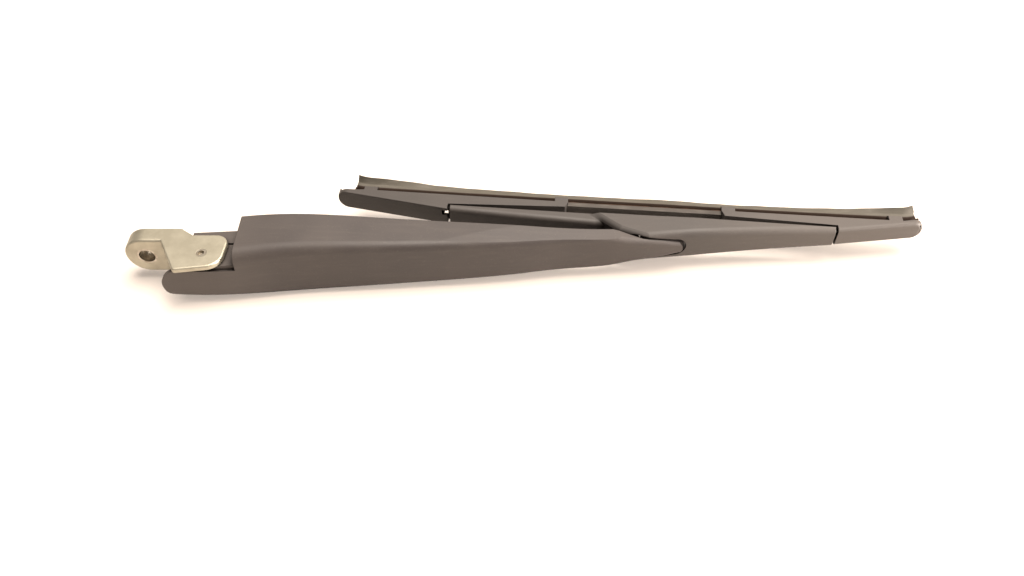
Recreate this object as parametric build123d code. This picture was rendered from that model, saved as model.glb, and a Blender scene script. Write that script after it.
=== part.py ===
"""Rear-window wiper arm with its blade, lying on its side, in millimetres.

+X runs along the arm from the spindle to the tip, +Y points to the window glass, and every
hinge pin is parallel to Z. The origin is on the spindle axis, on the face that takes the nut.
"""
from build123d import *
import os
from math import atan2, degrees, hypot, sqrt

# Fits
run_clearance = 0.05        # radial, a pin that something turns on
side_clearance = 0.25       # between faces that slide past each other
press_depth = 1.0           # how far a blind pin goes into a wall

# Head: cast foot on the spindle, with a full cheek above and a slim one hidden below
head_half_width = 11.0
cheek_wall = 2.5
boss_depth = 8.6
boss_end_x = 19.0
boss_rim_radius = 1.4
collar_radius = 8.0
collar_depth = 10.7
rake_foot_x = 9.6
cheek_toe = (20.3, -19.8)
cheek_heel = (42.9, -16.7)
cheek_end_x = 43.7
cheek_glass_y = 4.4
cheek_step_x = 25.0
cheek_toe_radius = 2.0
cheek_heel_radius = 8.5
cheek_end_radius = 6.5
strut_foot_x = 13.8
lobe_radius = 4.6
head_edge_radius = 0.9
spindle_radius = 4.05
bush_radius = 5.2

# Hinge between head and arm
hinge_x = 32.1
hinge_y = -8.3
hinge_pin_radius = 2.5
pin_dimple_radius = 1.5
pin_dimple_depth = 1.4

# Arm: moulded channel, open to the glass. Stations: x, outer face, half width, ridge radius.
# Past the spring they keep their distance from the pivot of the blade.
blade_x = 256.0
arm_stations = [
    (4, -17.7, 12.6, 6.5),
    (20, -17.5, 13.7, 6.5),
    (34, -16.9, 14.7, 6.5),
    (50, -15.1, 15.8, 6.5),
    (75, -11.5, 16.5, 5.5),
    (110, -8.9, 15.3, 4.5),
    (blade_x - 106, -6.1, 13.8, 3.8),
    (blade_x - 66, -2.4, 12.4, 3.4),
    (blade_x - 45, 0.3, 11.7, 3.2),
    (blade_x - 20, 2.0, 10.4, 3.0),
    (blade_x - 11, 2.5, 8.3, 2.8),
    (blade_x - 4, 3.0, 7.0, 2.6),
    (blade_x + 8, 4.2, 5.2, 2.2),
    (blade_x + 24, 5.8, 4.2, 2.0),
]
arm_edge_line = [
    (46, 12.4),
    (90, 13.7),
    (130, 12.0),
    (blade_x - 69, 9.8),
    (blade_x - 45, 8.9),
    (blade_x - 19.5, 9.5),
]
arm_open_y = 18.0
arm_wall = 2.2
arm_inner_radius = 0.4
tongue_reach = 17.0
tongue_nose_radius = 4.6
tongue_wall = 2.4
tongue_root = 4.0
crease_start_x = 131.0
crease_back = 66.0
crease_drop = 0.9
shoulder_x = 48.9
hood_end_x = 11.5
hood_upper_half = 7.6
hood_shoulder_half = 5.4
side_foot_x = 26.0
lug_wall = 2.6
lug_left_x = 24.0
lug_left_y = 8.4
lug_right_y = 10.2
slot_width = 1.2
slot_length = 6.5
slot_y = 0.5
rib_wall = 1.6
rib_pitch = 20.0
rib_count = 4
rib_start_x = 146.0
rib_depth = 7.0

# Bar in the head that the spring pulls on
hook_bar_x = 27.0
hook_bar_y = 0.9
hook_bar_radius = 1.9
web_wall = 2.0
ear_wall = 2.0
ear_half_length = 2.8

# Spring, its link to the head and its pin in the arm
anchor_x = 128.0
anchor_y = 3.5
anchor_radius = 2.0
spring_wire = 1.5
spring_mean_radius = 4.1
spring_loop_radius = 3.3
link_half_wall = 1.0
link_length = 32.0
link_height = 4.0
link_ring_wall = 1.9
link_play = 0.65

# Blade: its own frame sits on the pivot and is turned by the tilt
blade_y = 11.5
blade_tilt = 4.8
pivot_pin_radius = 2.0
pivot_bush_wall = 1.1
pivot_lug_radius = 4.8
pivot_lug_half = 4.4
pivot_boss_wall = 3.0
window_gap = 0.8
nose_gap = 1.9
window_depth = 4.0
window_left_x = -10.5

# Bridge
bridge_left_x = -104.5
bridge_right_x = 95.3
bridge_glass_y = 8.9
bridge_glass_end_y = 11.4
bridge_leg_arch = 1.2
bridge_crest_arch = 1.0
bridge_left_outer_y = 8.0
bridge_leg_mid = (-60.0, 4.9)
bridge_leg_root_y = 1.6
bridge_right_outer_y = 8.5
bridge_crest_mid = (47.6, 2.0)
bridge_left_half = 6.2
bridge_right_half = 6.2
bridge_leg_half = 7.3
bridge_taper_x = 22.0
bridge_wall = 1.8
bridge_leg_radius = 2.6
bridge_crest_radius = 3.5
hump_foot_x = -31.4
hump_knee = (-16.0, -2.6)
hump_top = (-2.4, -7.0)
hump_chamfer = 3.2
hump_step = 1.8
floor_wall = 1.6
floor_gap = 1.0

# Yokes
yoke_half_width = 5.6
yoke_wall = 1.8
yoke_roof = 1.2
yoke_gap = 1.5
yoke_flush = 1.0
yoke_seam_depth = 4.9
yoke_pin_radius = 1.2
yoke_pin_y = 15.9
yoke_rib_half = 1.8
yoke_rib_wall = 0.9
yoke_rib_room = 1.4
yoke_end_flat = 0.2
yoke_end_length = 10.0
yoke_tip_slant = 1.4
yoke_tip_room = 1.4
yoke_reveal = 2.65
inner_yoke_pin_x = -96.5
inner_yoke_end = (-166.5, 18.0)
inner_yoke_end_height = 1.9
inner_yoke_ridge = 0.7
inner_yoke_rise = 0.8
outer_yoke_pin_x = 87.7
outer_yoke_end = (142.3, 18.6)
outer_yoke_end_height = 3.4
outer_yoke_ridge = 2.0
claw_length = 7.0
claw_lip = 0.6
claw_root = 0.7
claw_bevel = 1.3
inner_claws = (-148.7, -46.3)
outer_claws = (41.3, 127.5)
stop_wall = 0.8
stop_half = 1.5
stop_height = 6.0
relief_length = 4.4
relief_low_z = 0.8
relief_low_y = 15.6
relief_high_y = 19.4

# Rubber and rails
rail_y = 22.2
rubber_left_x = -157.8
rubber_right_x = 140.3
rubber_half = 3.4
rubber_back = 3.6
rubber_head_depth = 1.0
rubber_neck_half = 0.9
rubber_neck_depth = 1.2
rubber_shoulder_half = 2.2
rubber_shoulder_depth = 0.4
rubber_lip_half = 0.45
rubber_lip_y = 8.4
rail_wall = 0.9
rail_width = 1.6
rail_inset = 0.25
rail_fit = 0.05
rubber_play = 0.3

# Derived places
cheek_inner = head_half_width - cheek_wall
knuckle_half = cheek_inner - side_clearance
channel_half = knuckle_half - lug_wall
web_half = channel_half - side_clearance
yoke_edge_y = rail_y - yoke_reveal
yoke_tip_y = rail_y - rubber_back - rubber_play - yoke_roof - yoke_tip_room
yoke_end_radius = yoke_half_width - yoke_end_flat
bridge_half_width = bridge_leg_half + hump_step
arm_end_x = blade_x + tongue_reach
tongue_root_x = blade_x - tongue_root
crease_end_x = blade_x - crease_back
blade_frame = Pos(blade_x, blade_y, 0) * Rot(0, 0, -blade_tilt)
FAR = 60.0


def slab(face, half):
    """Solid of an XY outline, as deep to each side of the middle plane."""
    return extrude(face, amount=half, both=True)


def plan(face):
    """Solid of an XZ outline, running through the whole depth in Y."""
    return Rot(90, 0, 0) * extrude(face, amount=2 * FAR, both=True)


def polygon(*points):
    """Flat face with straight sides."""
    return make_face(Polyline(*points, close=True))


def block(low, high):
    """Box between two opposite corners."""
    size = [b - a for a, b in zip(low, high)]
    centre = [(a + b) / 2 for a, b in zip(low, high)]
    return Pos(*centre) * Box(*size)


def pin(x, y, radius, half_length):
    """Round bar parallel to Z, centred on the middle plane."""
    return Pos(x, y, 0) * Cylinder(radius, 2 * half_length)


def both_sides(solid):
    """A piece and its mirror image across the middle plane."""
    return solid + mirror(solid, about=Plane.XY)


def along(points, x):
    """Y or half width at x on an outline, straight between its points."""
    for (x0, y0), (x1, y1) in zip(points, points[1:]):
        if x <= x1:
            break
    return y0 + (y1 - y0) * (x - x0) / (x1 - x0)


def arm_outer_y(x):
    """Y of the arm's outer face at x."""
    return along([(station[0], station[1]) for station in arm_stations], x)


def arm_half_width(x):
    """Half width of the arm at x."""
    return along([(station[0], station[2]) for station in arm_stations], x)


# Head and its hinge

def full_cheek():
    """The cheek that shows: raked at the boss, round at the heel and at the far end."""
    end = (cheek_end_x, cheek_glass_y)
    face = polygon(
        (rake_foot_x, boss_depth),
        (boss_end_x, boss_depth),
        (cheek_step_x, cheek_glass_y),
        end,
        cheek_heel,
        cheek_toe,
        (rake_foot_x, 0),
    )
    rounds = ((end, cheek_end_radius), (cheek_heel, cheek_heel_radius), (cheek_toe, cheek_toe_radius))
    for corner, radius in rounds:
        face = fillet(face.vertices().sort_by_distance(corner)[0], radius)
    return face


def slim_cheek():
    """The hidden cheek: a strut from the boss to a round lobe on the hinge pin."""
    reach = lobe_radius / sqrt(2)
    strut = polygon(
        (strut_foot_x, 0),
        (strut_foot_x, boss_depth),
        (boss_end_x, boss_depth),
        (hinge_x + reach, hinge_y + reach),
        (hinge_x - reach, hinge_y - reach),
    )
    return strut + Pos(hinge_x, hinge_y) * Circle(lobe_radius)


def hook_bar():
    """Tongue from the boss with two ears and the bar that the spring pulls on."""
    end_x = hook_bar_x + ear_half_length
    web_y = boss_depth - web_wall
    web = block((boss_end_x - web_wall, web_y, -web_half), (end_x, boss_depth, web_half))
    ear_low = (hook_bar_x - ear_half_length, hook_bar_y - ear_half_length, web_half - ear_wall)
    ear = block(ear_low, (end_x, boss_depth, web_half))
    return web + both_sides(ear) + pin(hook_bar_x, hook_bar_y, hook_bar_radius, web_half)


def arm_head():
    """Boss, cheeks and hook bar, cast as one."""
    boss_plan = Circle(head_half_width) + Pos(boss_end_x / 2, 0) * Rectangle(boss_end_x, 2 * head_half_width)
    boss = Pos(0, boss_depth, 0) * Rot(90, 0, 0) * extrude(boss_plan, amount=boss_depth)
    boss = fillet(boss.faces().sort_by(Axis.Y)[0].edges().sort_by(Axis.X)[:-1], boss_rim_radius)
    collar = Pos(0, collar_depth / 2, 0) * Rot(90, 0, 0) * Cylinder(collar_radius, collar_depth)
    upper = Pos(0, 0, cheek_inner) * extrude(full_cheek(), amount=cheek_wall)
    rim = upper.faces().sort_by(Axis.Z)[-1].edges()
    upper = fillet(rim.filter_by(lambda e: e.center().X > rake_foot_x + side_clearance), head_edge_radius)
    lower = Pos(0, 0, -head_half_width) * extrude(slim_cheek(), amount=cheek_wall)
    head = boss + collar + upper + lower + hook_bar()
    head -= Rot(90, 0, 0) * Cylinder(bush_radius, 2 * FAR)
    head -= pin(hinge_x, hinge_y, hinge_pin_radius, FAR)
    return head


def spindle_bush():
    """Sleeve in the boss that sits on the spindle."""
    ring = Rot(90, 0, 0) * (Cylinder(bush_radius, collar_depth) - Cylinder(spindle_radius, collar_depth))
    return Pos(0, collar_depth / 2, 0) * ring


def hinge_pin():
    """Pin pressed through both cheeks, dimpled where its ends were staked."""
    dimple = Pos(hinge_x, hinge_y, head_half_width) * Cylinder(pin_dimple_radius, 2 * pin_dimple_depth)
    return pin(hinge_x, hinge_y, hinge_pin_radius, head_half_width) - both_sides(dimple)


# Arm

def arm_section(station, inset):
    """Section of the arm at a station: a U with round corners on the outer side."""
    x, outer, half, ridge = station
    low, side = outer + inset, half - inset
    face = polygon((low, -side), (arm_open_y, -side), (arm_open_y, side), (low, side))
    corners = face.vertices().filter_by(lambda v: v.X < arm_open_y)
    face = fillet(corners, max(ridge - inset, arm_inner_radius))
    return Plane(origin=(x, 0, 0), x_dir=(0, 1, 0), z_dir=(1, 0, 0)) * face


def arm_body(inset, end_x):
    """Solid through the arm's sections up to the station at end_x."""
    return loft([arm_section(station, inset) for station in arm_stations if station[0] <= end_x])


def arm_plan():
    """The arm seen from outside: a round hood end, open sides and a round nose."""
    hood_low = arm_half_width(hood_end_x + hood_upper_half)
    hood_radius = (hood_low + hood_upper_half) / 2
    hood_x = hood_end_x + hood_radius
    hood = Pos(hood_x, hood_radius - hood_low) * Circle(hood_radius)
    nose_x = arm_end_x - tongue_nose_radius
    nose = Pos(nose_x, 0) * Circle(tongue_nose_radius)
    sides = polygon(
        (hood_x, FAR),
        (tongue_root_x, FAR),
        (nose_x, tongue_nose_radius),
        (nose_x, -tongue_nose_radius),
        (tongue_root_x, -FAR),
        (hood_x, -FAR),
    )
    return plan(hood + sides + nose)


def cheek_room():
    """The upper side of the arm beside the cheek, cut away down to the roof of the hood."""
    return plan(polygon(
        (-FAR, hood_upper_half),
        (hood_end_x + hood_upper_half, hood_upper_half),
        (shoulder_x, hood_shoulder_half),
        (shoulder_x, FAR),
        (-FAR, FAR),
    ))


def crease_cut(inset):
    """Half space above the facet that starts at the diagonal crease on the upper side."""
    low = Vector(crease_start_x, arm_outer_y(crease_start_x), arm_half_width(crease_start_x))
    high = Vector(crease_end_x, along(arm_edge_line, crease_end_x), arm_half_width(crease_end_x))
    tip_x = arm_edge_line[-1][0]
    tip = Vector(tip_x, arm_outer_y(tip_x), arm_half_width(tip_x) - crease_drop)
    normal = (tip - low).cross(high - low).normalized()
    facet = Plane(origin=low - normal * inset, x_dir=high - low, z_dir=normal)
    return facet * Box(6 * FAR, 6 * FAR, FAR, align=(Align.CENTER, Align.CENTER, Align.MIN))


def glass_region():
    """Everything past the arm's open edge, the slanted end of its sides and the tongue."""
    first, last = arm_edge_line[0], arm_edge_line[-1]
    far_x = arm_stations[-1][0]
    roof_x = hood_end_x + hood_upper_half
    back = Polyline(
        last,
        (tongue_root_x, arm_outer_y(tongue_root_x) + tongue_wall),
        (far_x, arm_outer_y(far_x) + tongue_wall),
        (far_x, FAR),
        (-FAR, FAR),
        (-FAR, arm_outer_y(roof_x) + arm_wall),
        (roof_x, arm_outer_y(roof_x) + arm_wall),
        (side_foot_x, hinge_y),
        first,
    )
    return slab(make_face([Spline(*arm_edge_line), back]), FAR)


def arm_channel():
    """The long hollow part of the arm with its hood and its tongue."""
    room = arm_body(arm_wall, tongue_root_x)
    stop_x = tongue_root_x - arm_wall
    room -= block((stop_x, -FAR, -FAR), (stop_x + FAR, FAR, FAR))
    room -= block((shoulder_x, -FAR, channel_half), (shoulder_x + arm_wall, FAR, FAR))
    room -= both_sides(crease_cut(arm_wall))
    body = arm_body(0, arm_stations[-1][0]) & arm_plan()
    body -= both_sides(crease_cut(0))
    return body - room - cheek_room() - glass_region()


def arm_lugs():
    """Two plates inside the hood that turn on the hinge pin."""
    root_x = shoulder_x + arm_wall
    face = polygon(
        (lug_left_x, arm_outer_y(lug_left_x) + arm_wall / 2),
        (hinge_x, arm_outer_y(hinge_x) + arm_wall / 2),
        (root_x, arm_outer_y(root_x) + arm_wall / 2),
        (root_x, lug_right_y),
        (lug_left_x, lug_left_y),
    )
    face -= Pos(shoulder_x - slot_length / 2, slot_y) * SlotOverall(slot_length, slot_width)
    face -= Pos(hinge_x, hinge_y) * Circle(hinge_pin_radius + run_clearance)
    return both_sides(Pos(0, 0, channel_half) * extrude(face, amount=lug_wall))


def arm_ribs():
    """Cross ribs in the slim half of the channel."""
    ribs = Part()
    for index in range(rib_count):
        x = rib_start_x + index * rib_pitch
        low = arm_outer_y(x) + arm_wall / 2
        half = arm_half_width(x) - arm_wall / 2
        ribs += block((x - rib_wall / 2, low, -half), (x + rib_wall / 2, low + rib_depth, half))
    return ribs


def pivot_lug():
    """Block under the tongue that carries the blade."""
    top = arm_outer_y(blade_x) + tongue_wall / 2
    low = (blade_x - pivot_lug_radius, top, -pivot_lug_half)
    stem = block(low, (blade_x + pivot_lug_radius, blade_y, pivot_lug_half))
    return stem + pin(blade_x, blade_y, pivot_lug_radius, pivot_lug_half)


def anchor_half():
    """Half length of the spring's anchor pin, which ends blind in both sides of the arm."""
    return arm_half_width(anchor_x) - arm_wall + press_depth


def arm_shell():
    """The whole moulding: channel, hinge lugs, ribs and the lug for the blade."""
    shell = arm_channel() + arm_lugs() + arm_ribs() + pivot_lug()
    shell -= pin(anchor_x, anchor_y, anchor_radius, anchor_half())
    return shell - pin(blade_x, blade_y, pivot_pin_radius + run_clearance + pivot_bush_wall, FAR)


def spring_anchor_pin():
    """Pin across the channel that holds the far end of the spring."""
    return pin(anchor_x, anchor_y, anchor_radius, anchor_half())


def pivot_bush():
    """Sleeve between the arm and the pin of the blade."""
    bore = pivot_pin_radius + run_clearance
    bush = pin(blade_x, blade_y, bore + pivot_bush_wall, pivot_lug_half)
    return bush - pin(blade_x, blade_y, bore, FAR)


# Spring and link, drawn along X from the hook bar towards the anchor

spring_span = hypot(anchor_x - hook_bar_x, anchor_y - hook_bar_y)
spring_angle = degrees(atan2(anchor_y - hook_bar_y, anchor_x - hook_bar_x))
spring_frame = Pos(hook_bar_x, hook_bar_y, 0) * Rot(0, 0, spring_angle)
link_eye_x = link_length - link_height / 2


def spring_link():
    """Flat steel link: a hook on the bar of the head and an eye for the spring."""
    inner = hook_bar_radius + link_play
    outer = inner + link_ring_wall
    ring = Circle(outer) - Pos(outer, -outer) * Rectangle(2 * outer, 2 * outer, align=Align.CENTER)
    shank = Pos(link_eye_x / 2, link_height / 4) * Rectangle(link_eye_x, link_height)
    end = Pos(link_eye_x, link_height / 4) * Circle(link_height / 2)
    eye_radius = (spring_wire + link_play) / 2
    face = ring + shank + end - Circle(inner) - Pos(link_eye_x, 0) * Circle(eye_radius)
    return spring_frame * slab(face, link_half_wall)


def wire(start_x, end_x):
    """Straight wire on the spring's axis."""
    return Pos((start_x + end_x) / 2, 0, 0) * Rot(0, 90, 0) * Cylinder(spring_wire / 2, end_x - start_x)


def tension_spring():
    """Close-wound spring as a ribbed sleeve, one rib to each turn, with a loop at each end."""
    half_wire = spring_wire / 2
    near_loop = link_eye_x + spring_loop_radius
    far_loop = spring_span + spring_loop_radius - anchor_radius - half_wire - link_play
    near_wire = near_loop + spring_loop_radius
    far_wire = far_loop - spring_loop_radius
    coil_start = near_wire + spring_wire
    turns = int((far_wire - spring_wire - coil_start) / spring_wire)
    coil_end = coil_start + turns * spring_wire
    outer = spring_mean_radius
    ribs = []
    for turn in range(turns):
        x = coil_start + turn * spring_wire
        ribs.append(ThreePointArc((x, outer), (x + half_wire, outer + half_wire), (x + spring_wire, outer)))
    bore = outer - half_wire
    sides = Polyline((coil_end, outer), (coil_end, bore), (coil_start, bore), (coil_start, outer))
    spring = revolve(make_face([*ribs, sides]), Axis.X)
    near_bar, far_bar = coil_start + spring_wire, coil_end - spring_wire
    for x in (near_bar, far_bar):
        spring += Pos(x, 0, 0) * Rot(90, 0, 0) * Cylinder(half_wire, 2 * outer)
    spring += wire(near_wire, near_bar) + wire(far_bar, far_wire)
    spring += Pos(near_loop, 0, 0) * Rot(90, 0, 0) * Torus(spring_loop_radius, half_wire)
    spring += Pos(far_loop, 0, 0) * Torus(spring_loop_radius, half_wire)
    return spring_frame * spring


# Blade

def along_blade(face, left_x, right_x):
    """Solid of a section, given in Y and Z, that runs along the blade."""
    section = Plane(origin=(left_x, 0, 0), x_dir=(0, 1, 0), z_dir=(1, 0, 0)) * face
    return extrude(section, amount=right_x - left_x)


# Bridge

def leg_side(depth):
    """Side outline of the left leg, with its open edge moved on by the depth."""
    top = (bridge_left_x, bridge_left_outer_y)
    root = (0, bridge_leg_root_y)
    glass_root = (0, bridge_glass_y + depth)
    glass_end = (bridge_left_x, bridge_glass_end_y + depth)
    glass_mid = (bridge_left_x / 2, bridge_glass_y + bridge_leg_arch + depth)
    outer = ThreePointArc(top, bridge_leg_mid, root)
    edge = ThreePointArc(glass_root, glass_mid, glass_end)
    return make_face([outer, Line(root, glass_root), edge, Line(glass_end, top)])


def tall_side(depth):
    """Side outline of the tall part around the pivot, with its open edge moved on by the depth."""
    glass_y = bridge_glass_y + depth
    slope = (hump_knee[0] - hump_foot_x) / (bridge_glass_y - hump_knee[1])
    foot = (hump_foot_x - slope * depth, glass_y)
    end = (bridge_right_x, bridge_right_outer_y)
    glass_end = (bridge_right_x, bridge_glass_end_y + depth)
    glass_mid = (bridge_crest_mid[0], glass_y + bridge_crest_arch)
    crest = ThreePointArc(hump_top, bridge_crest_mid, end)
    edge = ThreePointArc(glass_end, glass_mid, (0, glass_y))
    slants = Polyline((0, glass_y), foot, hump_knee, hump_top)
    return make_face([slants, crest, Line(end, glass_end), edge])


def leg_plan(inset):
    """Plan outline of the left leg."""
    side = [(bridge_left_x, bridge_left_half - inset), (hump_foot_x, bridge_leg_half - inset)]
    side.append((0, bridge_leg_half - inset))
    return plan(polygon(*side, *[(x, -half) for x, half in reversed(side)]))


def tall_plan(inset):
    """Plan outline of the tall part, which tapers to the right."""
    side = [(2 * hump_foot_x, bridge_half_width - inset), (bridge_taper_x, bridge_half_width - inset)]
    side.append((bridge_right_x, bridge_right_half - inset))
    return plan(polygon(*side, *[(x, -half) for x, half in reversed(side)]))


def bridge_leg():
    """Left leg of the bridge before it is hollowed, with soft outer edges."""
    leg = slab(leg_side(0), FAR) & leg_plan(0)
    roof = leg.faces().sort_by(Axis.Y)[0]
    return fillet(roof.edges().filter_by(Axis.Z, reverse=True), bridge_leg_radius)


def bridge_tall():
    """Tall part of the bridge before it is hollowed: chamfered slants and a round crest."""
    tall = slab(tall_side(0), FAR) & tall_plan(0)
    for index in (0, -1):
        side = tall.faces().sort_by(Axis.Z)[index]
        slants = side.edges().filter_by(lambda e: hump_foot_x < e.center().X < hump_top[0])
        slants = slants.filter_by(lambda e: e.center().Y < bridge_glass_y - side_clearance)
        tall = chamfer(slants, length=hump_chamfer, length2=hump_step, reference=side)
    roofs = tall.faces().filter_by(lambda f: f.center().X > hump_top[0] and f.normal_at().Y < 0)
    ridges = roofs.sort_by(SortBy.AREA)[-1].edges().filter_by(Axis.Z, reverse=True)
    return fillet(ridges.filter_by(lambda e: e.center().X > 0), bridge_crest_radius)


def tongue_window():
    """Opening in the outer face that the tongue of the arm lies in."""
    nose = tongue_nose_radius + window_gap
    nose_x = arm_end_x - blade_x + nose_gap - nose
    root_half = arm_half_width(tongue_root_x) + window_gap
    side = [(window_left_x, root_half), (hump_top[0], root_half), (nose_x, nose)]
    shape = polygon(*side, *[(x, -half) for x, half in reversed(side)]) + Pos(nose_x, 0) * Circle(nose)
    return plan(shape) & block((-FAR, -FAR, -FAR), (FAR, window_depth, FAR))


def window_floor():
    """Plate below the root of the tongue that closes the bridge towards the glass."""
    top = along([hump_knee, hump_top], window_left_x) + side_clearance
    half = bridge_half_width - bridge_wall / 2
    low = (window_left_x - side_clearance, top, -half)
    return block(low, (-pivot_lug_radius - floor_gap, top + floor_wall, half))


def yoke_rib(x):
    """Rib under the roof of the bridge that carries the pin of a yoke."""
    radius = yoke_pin_radius + yoke_rib_wall
    top = bridge_left_outer_y + bridge_wall / 2
    stem = block((x - radius, top, -yoke_rib_half), (x + radius, yoke_pin_y, yoke_rib_half))
    return stem + pin(x, yoke_pin_y, radius, yoke_rib_half)


def blade_bridge():
    """Main frame of the blade: a tapered channel with a tall middle around the arm's tongue."""
    body = bridge_leg() + bridge_tall()
    frame = body - (slab(offset(leg_side(FAR), -bridge_wall), FAR) & leg_plan(bridge_wall))
    frame -= slab(offset(tall_side(FAR), -bridge_wall), FAR) & tall_plan(bridge_wall)
    boss_half = bridge_half_width - pivot_boss_wall
    boss_high = (pivot_lug_radius, bridge_glass_y, bridge_half_width - bridge_wall / 2)
    boss = block((-pivot_lug_radius, 0, boss_half), boss_high)
    boss += Pos(0, 0, boss_half + press_depth) * Cylinder(pivot_lug_radius, 2 * press_depth)
    frame += both_sides(boss)
    frame -= tongue_window()
    frame += window_floor() & body
    frame += yoke_rib(inner_yoke_pin_x) + yoke_rib(outer_yoke_pin_x)
    frame -= pin(0, 0, pivot_pin_radius, boss_half + press_depth)
    for x in (inner_yoke_pin_x, outer_yoke_pin_x):
        frame -= pin(x, yoke_pin_y, yoke_pin_radius, FAR)
    return frame


def blade_pivot_pin():
    """Pin across the window of the bridge."""
    return pin(0, 0, pivot_pin_radius, bridge_half_width - pivot_boss_wall + press_depth)


# Yokes

def claw(x):
    """Pair of hooked fingers round the head of the rubber."""
    low = rubber_head_depth + rubber_play
    inner = yoke_half_width - yoke_wall
    lip_inner = rubber_neck_half + rubber_play
    root = -yoke_reveal - claw_root
    section = polygon(
        (root, inner),
        (root, yoke_half_width),
        (low + claw_lip - claw_bevel, yoke_half_width),
        (low + claw_lip, yoke_half_width - claw_bevel),
        (low + claw_lip, lip_inner),
        (low, lip_inner),
        (low, inner),
    )
    return both_sides(along_blade(Pos(rail_y, 0) * section, x - claw_length / 2, x + claw_length / 2))


def rubber_room():
    """Space along the whole rubber that the yokes leave free between their sides."""
    depth = rubber_back + rubber_play
    section = Pos(rail_y, 0) * Rectangle(2 * depth, 2 * (yoke_half_width - yoke_wall))
    return along_blade(section, rubber_left_x - rubber_play, rubber_right_x + rubber_play)


def yoke(outline, end, seam, ridge, pin_x, claws):
    """Arched channel that turns on its pin and holds the rubber in two pairs of claws."""
    face = polygon(*outline)
    body = slab(face, yoke_half_width)
    tips = body.edges().filter_by(lambda e: abs(e.center().X - end[0]) < run_clearance)
    body = fillet(tips.filter_by(Axis.Z, reverse=True), yoke_end_radius)
    middle = ((end[0] + seam[0]) / 2, (end[1] + seam[1]) / 2, 0)
    crown = body.faces().sort_by_distance(middle)[0].edges()
    body = fillet(crown.filter_by(lambda e: abs(e.center().X - seam[0]) > run_clearance), ridge)
    room = slab(Pos(0, yoke_roof, 0) * face, yoke_half_width - yoke_wall)
    room += slab(Pos(0, rubber_back, 0) * face, yoke_half_width - yoke_wall)
    body -= room - Pos(end[0], 0, 0) * Box(2 * yoke_end_length, 4 * FAR, 4 * FAR)
    body -= rubber_room()
    rib_room = yoke_pin_radius + yoke_rib_wall + yoke_rib_room
    rib_half = yoke_rib_half + side_clearance
    body -= block((pin_x - rib_room, -FAR, -rib_half), (pin_x + rib_room, yoke_pin_y + rib_room, rib_half))
    for x in claws:
        body += claw(x)
    return body - pin(pin_x, yoke_pin_y, yoke_pin_radius + run_clearance, yoke_pin_half() + side_clearance)


def yoke_pin_half():
    """Half length of a yoke's pin, which ends blind in both sides of the yoke."""
    return yoke_half_width - yoke_wall + press_depth - side_clearance


def inner_yoke():
    """Yoke nearer the head, with a thin stop at its end and a relief beside the seam."""
    seam = (bridge_left_x - yoke_gap, bridge_left_outer_y + yoke_flush)
    tip_x = inner_claws[1] + claw_length / 2
    last_x = inner_claws[0] - claw_length / 2
    foot_x = inner_yoke_end[0] + yoke_end_length
    end_glass = inner_yoke_end[1] + inner_yoke_end_height
    outline = [
        inner_yoke_end,
        seam,
        (seam[0], bridge_left_outer_y + yoke_seam_depth),
        (tip_x - yoke_tip_slant, yoke_tip_y),
        (tip_x, yoke_edge_y),
        (last_x, yoke_edge_y + inner_yoke_rise),
        (foot_x, end_glass),
        (inner_yoke_end[0], end_glass),
    ]
    body = yoke(outline, inner_yoke_end, seam, inner_yoke_ridge, inner_yoke_pin_x, inner_claws)
    inner = yoke_half_width - yoke_wall
    relief_x = bridge_left_x - relief_length
    body -= block((relief_x, seam[1], relief_low_z), (bridge_left_x, relief_low_y, inner))
    body -= block((relief_x, relief_low_y, -FAR), (bridge_left_x, relief_high_y, inner))
    stop_low = (inner_yoke_end[0], inner_yoke_end[1] + yoke_roof, -stop_half)
    body += block(stop_low, (inner_yoke_end[0] + stop_wall, inner_yoke_end[1] + stop_height, stop_half))
    return body


def outer_yoke():
    """Yoke at the far end."""
    seam = (bridge_right_x + yoke_gap, bridge_right_outer_y + yoke_flush)
    tip_x = outer_claws[0] - claw_length / 2
    last_x = outer_claws[1] + claw_length / 2
    end_glass = outer_yoke_end[1] + outer_yoke_end_height
    outline = [
        outer_yoke_end,
        (outer_yoke_end[0], end_glass),
        (last_x, yoke_edge_y),
        (tip_x, yoke_edge_y),
        (tip_x + yoke_tip_slant, yoke_tip_y),
        (seam[0], bridge_right_outer_y + yoke_seam_depth),
        seam,
    ]
    return yoke(outline, outer_yoke_end, seam, outer_yoke_ridge, outer_yoke_pin_x, outer_claws)


def yoke_pin(x):
    """Hidden pin between the bridge and a yoke."""
    return pin(x, yoke_pin_y, yoke_pin_radius, yoke_pin_half())


# Rubber and rails

def wiper_rubber():
    """Rubber strip: a back, a groove for each rail, a thin neck, shoulders and the wiping lip."""
    groove_half = rail_wall / 2 + rail_fit
    groove_z = rubber_half - rail_inset - rail_width - rail_fit
    neck_end = rubber_head_depth + rubber_neck_depth
    half = [
        (-rubber_back, rubber_half),
        (-groove_half, rubber_half),
        (-groove_half, groove_z),
        (groove_half, groove_z),
        (groove_half, rubber_half),
        (rubber_head_depth, rubber_half),
        (rubber_head_depth, rubber_neck_half),
        (neck_end, rubber_neck_half),
        (neck_end + rubber_shoulder_depth, rubber_shoulder_half),
        (rubber_lip_y, rubber_lip_half),
    ]
    section = Pos(rail_y, 0) * polygon(*half, *[(y, -z) for y, z in reversed(half)])
    return along_blade(section, rubber_left_x, rubber_right_x)


def rail():
    """Steel strip in the upper groove of the rubber."""
    section = Pos(rail_y, rubber_half - rail_inset - rail_width / 2) * Rectangle(rail_wall, rail_width)
    return along_blade(section, rubber_left_x, rubber_right_x)


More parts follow.
